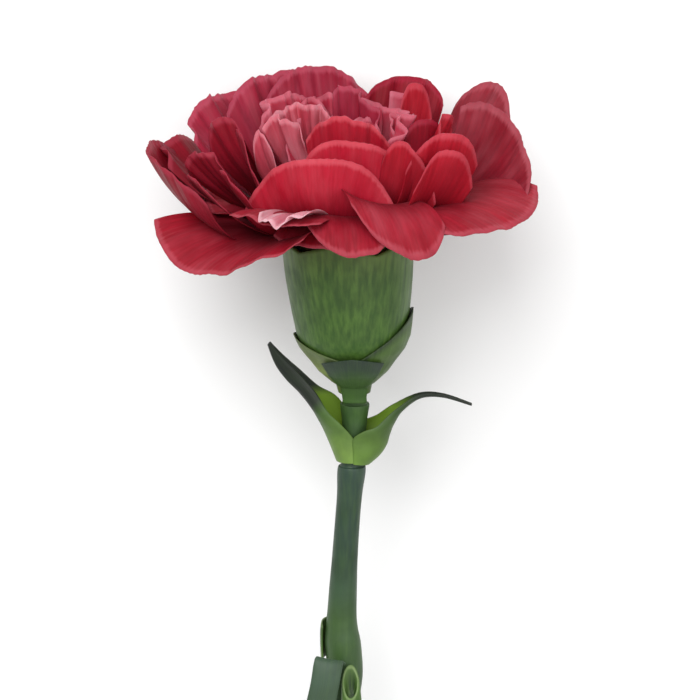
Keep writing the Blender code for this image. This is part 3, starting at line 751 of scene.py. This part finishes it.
# %% lines along a round body
def grain(tree, around, along):
    made = tree.nodes.new("ShaderNodeMapping")
    made.inputs["Scale"].default_value = (around, along, around)
    tree.links.new(own_place(tree), made.inputs["Vector"])
    return noise(tree, made.outputs[0], 1.0, 3.0)


print("lines can run along the stem")

# %% [markdown]
# A leaf has two faces: the inner one of the upper pair is a bright lime green up to
# where the blade has dried. The mark for the side tells them apart.

# %% green finish
LINE_GREEN = (0.10, 0.19, 0.035)
BLOTCH_GREEN = (0.015, 0.03, 0.012)
WAX_BLUE = (0.055, 0.095, 0.075)
FADE = 0.12                   # length over which the inner colour fades out


def green_skin(name, stops, lines, amount, inner=None, until=1.0, wax=0.0, slant=0.0,
               outside_in=False, body=False):
    """stops colour the piece from foot to tip, slanting back to its margins; lines are
    the grains of the light lines, amount their strength; inner is the colour of the inner
    side up to until; outside_in swaps the sides; body: a round body, not a blade."""
    made, tree, shader = new_skin(name)
    streak = grain(tree, *lines) if body else streaks(tree, *lines)
    blotch = noise(tree, own_place(tree), 260.0, 4.0)
    along = read_mark(tree, "along")
    off_middle = reckon(tree, "ABSOLUTE", read_mark(tree, "across"))
    here = reckon(tree, "SUBTRACT", along, reckon(tree, "MULTIPLY", off_middle, slant))
    colour = ramp(tree, waver(tree, here, reckon(tree, "SUBTRACT", streak, 0.5), 0.08), stops)
    light = ramp(tree, streak, [(0.36, grey(0.0)), (0.66, grey(1.0))])
    colour = blend(tree, reckon(tree, "MULTIPLY", light, amount), colour, LINE_GREEN)
    colour = blend(tree, ramp(tree, blotch, [(0.40, grey(0.22)), (0.6, grey(0.0))]), colour, BLOTCH_GREEN)
    if inner:
        low = ramp(tree, along, [(until, grey(1.0)), (min(until + FADE, 1.0), grey(0.0))])
        side = read_mark(tree, "side")
        side = reckon(tree, "SUBTRACT", 1.0, side) if outside_in else side
        colour = blend(tree, reckon(tree, "MULTIPLY", side, low), colour, inner)
    if wax:
        haze = noise(tree, own_place(tree), 90.0, 3.0)
        colour = blend(tree, ramp(tree, haze, [(0.35, grey(0.0)), (0.7, grey(wax))]), colour, WAX_BLUE)
    tree.links.new(colour, shader.inputs["Base Color"])
    rough = ramp(tree, blotch, [(0.3, grey(0.57)), (0.7, grey(0.40))])
    tree.links.new(rough, shader.inputs["Roughness"])
    relief(tree, shader, streak, 0.3)
    shader.inputs["Specular IOR Level"].default_value = 0.28
    return made


print("green finish is ready")

# %% [markdown]
# ## Calyx
# The calyx is a green tube of five sepals that have grown together, so it ends in five
# pointed teeth. It is smooth and faintly striped, yellowish at its foot. Its outline is a
# handful of points with a smooth line through them, the outer wall first and then the
# inner one; the teeth are a rise of the rim that repeats five times round.

# %% a smooth line through points
def smooth_line(knots, v):
    """A line through all the knots, read at v from 0 to 1."""
    knots = np.array(knots, float)
    last = len(knots) - 1
    spot = np.clip(v, 0, 1) * last
    k = np.minimum(spot.astype(int), last - 1)
    f = (spot - k)[:, None]
    before = knots[np.maximum(k - 1, 0)]
    after = knots[np.minimum(k + 2, last)]
    a, b = knots[k], knots[k + 1]
    return 0.5 * (2 * a + (b - before) * f + (2 * before - 5 * a + 4 * b - after) * f ** 2
                  + (3 * a - before - 3 * b + after) * f ** 3)


print("halfway between knots:", smooth_line([(0, 0), (1, 1), (2, 0)], np.array([0.25])).tolist())

# %% calyx
CALYX_RIM = 27.2              # height of the notches between the teeth
CALYX_R = 12.3
CALYX_WALL = 0.72             # thickness of the rim
TOOTH = 2.2                   # height of a tooth
TEETH = 5
TEETH_TURN = 46 / 72          # how far round the teeth stand, in widths of a tooth
TEETH_FROM = 21.5             # the wall rises into the teeth from here
CALYX_OUTSIDE = [(2.3, 0.3), (3.4, 1.0), (5.9, 3.3), (7.1, 5.0), (9.2, 7.7), (10.2, 9.9), (10.7, 12.5),
                 (11.3, 16.5), (11.9, TEETH_FROM), (CALYX_R, CALYX_RIM)]
CALYX_INSIDE = [(CALYX_R - CALYX_WALL, CALYX_RIM), (10.9, TEETH_FROM), (10.4, 16.5), (9.8, 12.3),
                (8.9, 10.2), (6.2, 7.4), (0.2, 7.4)]


def toothed(x, y, z):
    turn = np.arctan2(x, -y) / (2 * math.pi) * TEETH + TEETH_TURN
    tooth = 1 - np.abs(2 * (turn % 1.0) - 1)
    rise = np.clip((z - TEETH_FROM) / (CALYX_RIM - TEETH_FROM), 0, 1)
    return follow_stem(x, y, z + TOOTH * tooth * rise)


walls = np.concatenate((smooth_line(CALYX_OUTSIDE, np.linspace(0, 1, 60)),
                        smooth_line(CALYX_INSIDE, np.linspace(0, 1, 30))))
calyx = Growth()
turned(calyx, walls, 180, toothed)
calyx_skin = green_skin(
    "calyx_skin",
    [(0.0, (0.10, 0.19, 0.02)), (0.14, (0.075, 0.15, 0.018)), (0.34, (0.035, 0.088, 0.014)),
     (0.60, (0.040, 0.085, 0.018)), (0.66, (0.10, 0.15, 0.035))],
    (1300.0, 40.0), 0.50, body=True)
calyx.piece("calyx_tube", "calyx", "calyx_green", calyx_skin)

# %% [markdown]
# ## The four scales under the calyx
# Two pairs of short broad scales clasp the foot of the calyx, the lower pair in front and
# behind, the upper pair at the sides. A scale could be cut from a copy of the calyx; a
# sector of the same outline, a little farther out, is simpler and always fits it.

# %% scales
CUP_Z = [NECK, -1.6, 0.5, 1.0, 3.3, 5.0, 7.7, 9.9, 12.5, 16.5]
CUP_R = [2.1, 2.1, 2.6, 3.4, 5.9, 7.1, 9.2, 10.2, 10.7, 11.3]
SCALE_THICK, SCALE_MARGIN = 0.45, 0.16
LEAF_LINES = (9.0, 1.2)


def scale_formula(azimuth, half, foot_z, tip, blunt, off):
    """half is half the angle that the scale spans; its crest falls from tip in the middle
    to blunt at the sides; off is its distance from the calyx."""
    def formula(u, v):
        az = math.radians(azimuth) + math.radians(half) * u
        crest = tip - (tip - blunt) * np.abs(u) ** 1.3
        z = foot_z + (crest - foot_z) * v
        r = np.interp(z, CUP_Z, CUP_R) + off
        return follow_stem(r * np.sin(az), -r * np.cos(az), z)
    return formula


right_scale_skin = green_skin(
    "scale_skin", [(0.0, (0.05, 0.09, 0.015)), (0.5, (0.045, 0.09, 0.012)),
                   (0.86, (0.05, 0.10, 0.015)), (0.97, (0.025, 0.04, 0.02))], LEAF_LINES, 0.30)
left_scale_skin = green_skin(
    "left_scale_skin", [(0.0, (0.12, 0.18, 0.04)), (0.5, (0.26, 0.32, 0.10)),
                        (0.97, (0.10, 0.13, 0.05))], LEAF_LINES, 0.30)
lower_scale_skin = green_skin(
    "front_scale_skin", [(0.0, (0.035, 0.09, 0.012)), (0.55, (0.03, 0.075, 0.012)),
                         (0.8, (0.02, 0.04, 0.025)), (1.0, (0.018, 0.03, 0.025))], LEAF_LINES, 0.15)
for name, plan, skin in (("epicalyx_left", (-90, 86, -1.2, 10.0, 6.0, 0.6), left_scale_skin),
                         ("epicalyx_right", (90, 86, -1.2, 15.0, 6.2, 0.6), right_scale_skin),
                         ("epicalyx_front", (0, 38, -2.6, 7.4, 6.0, 1.5), lower_scale_skin),
                         ("epicalyx_back", (180, 38, -2.6, 6.8, 4.5, 1.5), lower_scale_skin)):
    scale = Growth()
    blade(scale, scale_formula(*plan), 60, 36, SCALE_THICK, SCALE_MARGIN, scale=2.0,
          chance=len(name) * 0.3)
    scale.piece(name + "_fine", name, "calyx_green", skin)

# %% [markdown]
# ## Stem
# The stem is smooth and bluish green under its wax, and a fresher green at the joints.
# It could be a curve with a bevel, but the joints change its radius, so it is a turned
# outline that follows the line of the stem.

# %% stem
stem = Growth()
turned(stem, smooth_line(STEM, np.linspace(0, 1, 260)), 64, follow_stem)
stem_skin = green_skin(
    "stem_skin",
    [(0.0, (0.030, 0.060, 0.030)), (0.34, (0.030, 0.060, 0.028)), (0.42, (0.040, 0.085, 0.020)),
     (0.53, (0.038, 0.082, 0.020)), (0.60, (0.018, 0.042, 0.024)), (0.78, (0.016, 0.036, 0.024)),
     (0.83, (0.030, 0.072, 0.014)), (0.94, (0.034, 0.085, 0.013))],
    (1400.0, 60.0), 0.15, wax=0.30, body=True)
stem.piece("stem_fine", "stem", "stem_green", stem_skin)

# %% [markdown]
# ## Leaves
# Carnation leaves are narrow channels in pairs that clasp the stem. A flat strip bent to
# shape would lose the channel. Three lines say all of it: the margin towards the
# front, the keel and the other margin. Across the leaf, half an ellipse joins them.

# %% a channelled leaf
def leaf_formula(front, keel, back):
    def formula(u, v):
        f, k, b = smooth_line(front, v), smooth_line(keel, v), smooth_line(back, v)
        middle = (f + b) / 2
        turn = (math.pi / 2 * u)[:, None]
        return middle + (k - middle) * np.cos(turn) + (b - f) / 2 * np.sin(turn)
    return formula


LEAF_THICK, LEAF_MARGIN = 0.6, 0.25


def grow_leaf(name, lines, skin):
    leaf = Growth()
    blade(leaf, leaf_formula(**lines), 40, 110, LEAF_THICK, LEAF_MARGIN, scale=2.0)
    leaf.piece(name + "_fine", name, "leaf_green", skin)


print("a leaf needs three lines")

# %% [markdown]
# The upper pair forms a collar that opens in a V towards the front. The left blade points
# up, the right one arches over, and both have dried to charcoal at the tip. The two bases
# have grown together, so the seam between them is closed by drawing them together.

# %% upper pair
LEFT_LEAF = dict(
    front=[(0.35, -3.0, -14.4), (0.3, -3.1, -12.0), (0.25, -3.1, -9.7), (-1.6, -3.3, -6.9),
           (-4.1, -3.0, -4.4), (-6.4, -2.0, -0.9), (-9.6, -1.0, 2.6), (-12.6, -0.7, 5.6),
           (-14.9, -0.6, 8.2)],
    keel=[(-2.35, 0, -14.4), (-3.7, 0, -10.9), (-4.8, 0, -8.3), (-5.9, 0, -5.9), (-7.1, 0, -3.6),
          (-9.5, 0, -1.0), (-11.8, 0, 1.3), (-13.8, 0, 4.1), (-15.3, 0, 7.8)],
    back=[(0.35, 3.0, -14.4), (0.3, 3.1, -12.0), (0.2, 3.1, -9.0), (-0.8, 3.3, -5.4), (-2.7, 3.1, -2.8),
          (-6.0, 2.0, -0.6), (-9.4, 1.0, 2.8), (-12.5, 0.7, 5.7), (-14.9, 0.6, 8.25)])
RIGHT_LEAF = dict(
    front=[(1.0, -3.0, -14.6), (0.95, -3.2, -12.2), (0.9, -3.2, -9.7), (2.6, -3.4, -8.1),
           (5.0, -3.0, -7.2), (8.0, -2.0, -4.6), (12.9, -0.9, -1.7), (17.5, -0.8, -1.8), (22.8, -0.5, -3.6)],
    keel=[(3.6, 0, -14.9), (5.5, 0, -13.2), (6.7, 0, -11.3), (7.3, 0, -9.2), (8.2, 0, -7.0),
          (9.8, 0, -4.6), (13.2, 0, -2.3), (17.5, 0, -2.2), (22.8, 0, -3.9)],
    back=[(1.0, 3.0, -14.6), (0.95, 3.2, -12.2), (0.9, 3.2, -9.4), (2.6, 3.4, -7.7), (5.0, 3.0, -6.6),
          (8.0, 2.0, -4.3), (12.9, 0.9, -1.7), (17.5, 0.8, -1.8), (22.8, 0.5, -3.6)])
SEAM = 0.37
for lines, pull in ((LEFT_LEAF, SEAM), (RIGHT_LEAF, -SEAM)):
    for margin in ("front", "back"):
        lines[margin][:3] = [(x + pull, y, z) for x, y, z in lines[margin][:3]]
CHARCOAL = (0.010, 0.012, 0.011)
LIME = (0.15, 0.26, 0.02)
left_leaf_skin = green_skin(
    "left_leaf_skin", [(0.0, (0.15, 0.25, 0.05)), (0.2, (0.085, 0.155, 0.032)),
                       (0.38, (0.05, 0.10, 0.022)), (0.46, CHARCOAL)],
    LEAF_LINES, 0.08, inner=LIME, until=0.52, slant=0.07, outside_in=True)
right_leaf_skin = green_skin(
    "right_leaf_skin", [(0.0, (0.12, 0.22, 0.035)), (0.3, (0.075, 0.14, 0.025)),
                        (0.62, (0.035, 0.075, 0.016)), (0.76, CHARCOAL)],
    LEAF_LINES, 0.08, inner=LIME, until=0.6)
grow_leaf("upper_leaf_left", LEFT_LEAF, left_leaf_skin)
grow_leaf("upper_leaf_right", RIGHT_LEAF, right_leaf_skin)

# %% [markdown]
# At the lower joint one blade folds over at once and hangs along the stem, so its lines
# rise, turn and run down. It shows its waxy underside.

# %% lower leaf
LOWER_LEAF = dict(
    front=[(-5.9, -3.9, -52.8), (-6.4, -5.2, -51.7), (-6.8, -6.2, -52.9), (-7.5, -7.0, -57.2),
           (-9.6, -7.9, -66), (-12.2, -8.0, -76), (-14.2, -7.2, -86), (-14.9, -6.4, -95)],
    keel=[(-3.4, -4.4, -53.2), (-3.9, -5.7, -52.3), (-4.2, -6.8, -53.7), (-4.9, -7.7, -57.8),
          (-6.8, -8.7, -66), (-9.5, -8.9, -76), (-12.2, -7.9, -86), (-14.6, -6.6, -96)],
    back=[(-0.9, -4.3, -53.3), (-1.3, -5.5, -52.6), (-1.7, -6.5, -54.0), (-2.4, -7.3, -57.9),
          (-4.1, -8.3, -66), (-7.0, -8.6, -76), (-10.6, -7.7, -86), (-14.3, -6.4, -95)])
# paler and greyer at its start, where the blade folds over: a painted highlight on the fold
lower_leaf_skin = green_skin(
    "front_leaf_skin", [(0.0, (0.07, 0.11, 0.06)), (0.15, (0.04, 0.07, 0.04)),
                        (0.9, (0.035, 0.065, 0.035)), (1.0, (0.05, 0.07, 0.03))],
    LEAF_LINES, 0.12, wax=0.45)
grow_leaf("lower_leaf_front", LOWER_LEAF, lower_leaf_skin)

# %% [markdown]
# Of the leaf opposite it only the sheath is left: a short band round the back of the
# joint, like a scale of the calyx but on the stem.

# %% sheath
SHEATH_AZ, SHEATH_HALF = 222, 64
SHEATH_FOOT, SHEATH_HIGH = -53.8, 7.6
SHEATH_R, SHEATH_TAPER = 4.22, 0.45


def sheath_formula(u, v):
    az = np.radians(SHEATH_AZ + SHEATH_HALF * u)
    z = SHEATH_FOOT + SHEATH_HIGH * v - 0.8 * np.abs(u) ** 3 * v
    r = SHEATH_R - SHEATH_TAPER * v ** 1.4
    return follow_stem(r * np.sin(az), -r * np.cos(az), z)


sheath = Growth()
blade(sheath, sheath_formula, 80, 24, 0.55, 0.22, scale=2.0)
sheath_skin = green_skin(
    "sheath_skin", [(0.0, (0.10, 0.17, 0.04)), (0.5, (0.05, 0.11, 0.018)),
                    (0.92, (0.04, 0.09, 0.015)), (1.0, (0.14, 0.20, 0.08))], LEAF_LINES, 0.2)
sheath.piece("lower_sheath_fine", "lower_sheath_back", "leaf_green", sheath_skin)

# %% [markdown]
# ## The stub of a side shoot
# A side shoot was cut away at the lower joint. Its stub is short and hollow, and the
# slanting cut faces the front. It is turned upright with a pit in its end; then its end
# is sheared, which slants the cut without a knife.

# %% stub
STUB = [(0.3, 0), (1.3, 0.4), (1.9, 3), (1.95, 8), (1.7, 12.2), (1.3, 12.6), (1.0, 12.0),
        (0.6, 10.6), (0.1, 10.4)]
STUB_Z = -69.4
STUB_Y = -5.75
STUB_SLANT = 2.0


def stub_place(x, y, z):
    slant = STUB_SLANT * y * np.clip(z / 8, 0, 1)
    below_cut = z - 12
    return np.stack((x + 0.15 - 0.04 * below_cut, y + STUB_Y + 0.03 * below_cut, z + slant + STUB_Z), -1)


stub = Growth()
turned(stub, smooth_line(STUB, np.linspace(0, 1, 60)), 48, stub_place)
# pale at the lip of the cut, then darker down into the hollow: painted shade in the pit
stub_skin = green_skin(
    "stub_skin",
    [(0.0, (0.03, 0.07, 0.014)), (0.53, (0.045, 0.10, 0.015)), (0.60, (0.19, 0.27, 0.10)),
     (0.65, (0.06, 0.12, 0.025)), (0.80, (0.02, 0.045, 0.010)), (1.0, (0.010, 0.022, 0.006))],
    (6.0, 2.0), 0.5)
stub.piece("stub_fine", "side_shoot_stub", "leaf_green", stub_skin)

# %% [markdown]
# ## Table
# The flower lies on a plain pale table. One large quad just under it is enough; its
# paleness wanders a little, so that it is not dead flat.

# %% table
TABLE_HALF = 3.0
TABLE_Z = -0.0002
table_mesh = bpy.data.meshes.new("table")
table_mesh.from_pydata([(x * TABLE_HALF, y * TABLE_HALF, TABLE_Z)
                        for x, y in ((-1, -1), (1, -1), (1, 1), (-1, 1))], [], [(0, 1, 2, 3)])
table = bpy.data.objects.new("table", table_mesh)
bpy.context.scene.collection.objects.link(table)
table_skin, tree, shader = new_skin("table_white")
table_shade = ramp(tree, noise(tree, own_place(tree), 8.0, 2.0), [(0.3, grey(0.86)), (0.7, grey(0.89))])
tree.links.new(table_shade, shader.inputs["Base Color"])
shader.inputs["Roughness"].default_value = 0.7
table_mesh.materials.append(table_skin)
print("table", 2 * TABLE_HALF, "m wide")

# %% [markdown]
# ## Light
# A bright white room fills the shadows. One large lamp beyond the bloom models the
# petals, and a weaker one from the right opens the dark side. Small lamps would draw hard
# shadows on the table.

# %% light
room = bpy.data.worlds.new("room")
bpy.context.scene.world = room
room.use_nodes = True
room.node_tree.nodes["Background"].inputs[0].default_value = (1, 1, 1, 1)
room.node_tree.nodes["Background"].inputs[1].default_value = 0.66
LAMP_AIM = Vector((0, 0.08, 0.03))


def lamp(name, place, size, power):
    data = bpy.data.lights.new(name, "AREA")
    data.size = size
    data.energy = power
    made = bpy.data.objects.new(name, data)
    bpy.context.scene.collection.objects.link(made)
    made.location = place
    made.rotation_mode = "QUATERNION"
    made.rotation_quaternion = (LAMP_AIM - Vector(place)).to_track_quat("-Z", "Y")
    print(name, power, "W")


lamp("window", (-0.25, 0.60, 0.85), 0.75, 8.5)
lamp("bounce", (0.5, 0.1, 0.9), 1.0, 4.0)

# %% [markdown]
# ## Camera
# The camera looks down on the table. It leans 14 degrees against the flower's own axis,
# to see over the front petals into the bloom; the tilt of the stem is part of that. It
# stands well back with a long lens, so that near petals are not blown up.

# %% camera
DISTANCE = 0.75
SPAN = 0.1309                 # width of the view at the flower
LEAN = math.radians(14.0) - TILT
RAISED = SPAN / 20            # the middle of the view is this far above the calyx foot
back = Vector((0, math.sin(LEAN), math.cos(LEAN)))
up = Vector((0, math.cos(LEAN), -math.sin(LEAN)))
camera = bpy.data.objects.new("camera", bpy.data.cameras.new("camera"))
bpy.context.scene.collection.objects.link(camera)
camera.data.lens = 36 * DISTANCE / SPAN
camera.location = foot * MM + up * RAISED + back * DISTANCE
camera.rotation_euler = Matrix(((1, 0, 0), up, back)).transposed().to_euler()
bpy.context.scene.camera = camera
bpy.context.scene.view_settings.view_transform = "Standard"
print("lens", round(camera.data.lens), "mm")
